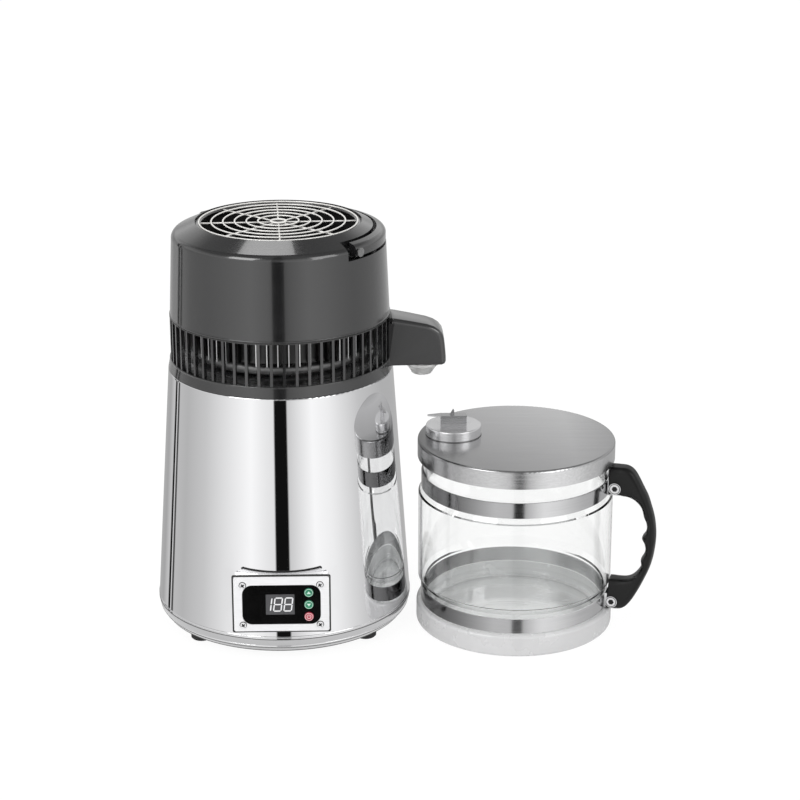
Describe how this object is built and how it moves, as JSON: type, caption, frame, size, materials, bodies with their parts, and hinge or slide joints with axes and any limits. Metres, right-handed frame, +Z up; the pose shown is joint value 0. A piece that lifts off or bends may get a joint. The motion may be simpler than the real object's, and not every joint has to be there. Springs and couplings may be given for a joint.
{
  "type": "water distiller",
  "caption": "Countertop water distiller: steel boiler with fan-cooled condenser head, side spout and control panel, and a handled glass jug with lid.",
  "frame": {"origin": "on the floor under the middle of the still and its jug", "axes": "+X from the still to the jug, -Y to the side of the control panel, +Z up"},
  "size_m": [0.4626, 0.2403, 0.3794],
  "materials": {
    "polished_steel": "mirror polish",
    "inner_steel": "satin",
    "plain_steel": "mill",
    "rubber_feet": "matt",
    "heater_aluminium": "cast",
    "thermostat_metal": "plain",
    "bezel_steel": "satin polish",
    "window_black": "gloss",
    "tray_black": "moulded",
    "board_green": "lacquered",
    "display_dark": "gloss",
    "key_green": "soft",
    "key_red": "soft",
    "inlet_black": "moulded",
    "head_plastic": "gloss",
    "grille_wire": "bright wire",
    "fan_black": "moulded",
    "motor_metal": "plain",
    "seal_silicone": "translucent white",
    "fin_aluminium": "bright",
    "nozzle_white": "white",
    "pivot_metal": "plain",
    "jug_foot": "satin",
    "jug_glass": "clear",
    "hoop_steel": "polish",
    "handle_plastic": "satin",
    "lid_steel": "satin",
    "cap_steel": "polish"
  },
  "bodies": {
    "still": {"outer_shell": "polished_steel", "base_skirt": "polished_steel", "base_plate": "plain_steel", "feet": "rubber_feet", "boil_pot": "inner_steel", "heater": "heater_aluminium", "heater_clamp": "inner_steel", "thermostats": "thermostat_metal", "panel_bezel": "bezel_steel", "panel_window": "window_black", "control_tray": "tray_black", "circuit_board": "board_green", "display_module": "display_dark", "panel_screws": "bezel_steel", "power_inlet": "inlet_black"},
    "head": {"vent_ring": "head_plastic", "head_cover": "head_plastic", "fan_grille": "grille_wire", "fan_frame": "fan_black", "fan_motor": "motor_metal", "dome_lid": "inner_steel", "dome_seal": "seal_silicone", "condenser_coil": "inner_steel", "condenser_fins": "fin_aluminium", "spout_hood": "head_plastic", "nozzle": "nozzle_white", "bail_pivots": "pivot_metal"},
    "handle": {"carry_handle": "head_plastic"},
    "fan": {"fan_rotor": "fan_black"},
    "up_key": {"button_up": "key_green"},
    "down_key": {"button_down": "key_green"},
    "power_key": {"button_power": "key_red"},
    "jug": {"jug_base": "jug_foot", "jug_glass": "jug_glass", "lower_hoop": "hoop_steel", "upper_hoop": "hoop_steel", "jug_handle": "handle_plastic", "handle_bolts": "hoop_steel"},
    "lid": {"jug_lid": "lid_steel", "lid_seal": "seal_silicone"},
    "cap": {"inlet_cap": "cap_steel", "cap_grip": "cap_steel"}
  },
  "joints": [
    {"name": "head_lift", "type": "slide", "parent": "still", "child": "head", "axis": [0, 0, 1], "range_m": [0, 0.2]},
    {"name": "handle_fold", "type": "hinge", "parent": "head", "child": "handle", "pos_m": [-0.1133, 0.0014, 0.366], "axis": [0.7478, -0.6639, 0], "range_deg": [0, 90]},
    {"name": "fan_spin", "type": "hinge", "parent": "head", "child": "fan", "pos_m": [-0.1133, 0.0014, 0.35], "axis": [0, 0, 1], "continuous": true},
    {"name": "up_press", "type": "slide", "parent": "still", "child": "up_key", "axis": [0, 1, 0], "range_m": [0, 0.0008], "stiffness_N_per_m": 300},
    {"name": "down_press", "type": "slide", "parent": "still", "child": "down_key", "axis": [0, 1, 0], "range_m": [0, 0.0008], "stiffness_N_per_m": 300},
    {"name": "power_press", "type": "slide", "parent": "still", "child": "power_key", "axis": [0, 1, 0], "range_m": [0, 0.0008], "stiffness_N_per_m": 300},
    {"name": "jug_slide", "type": "slide", "parent": "still", "child": "jug", "axis": [1, 0, 0], "range_m": [0, 0.15]},
    {"name": "lid_lift", "type": "slide", "parent": "jug", "child": "lid", "axis": [0, 0, 1], "range_m": [0, 0.016]},
    {"name": "cap_lift", "type": "slide", "parent": "lid", "child": "cap", "axis": [0, 0, 1], "range_m": [0, 0.012]}
  ]
}
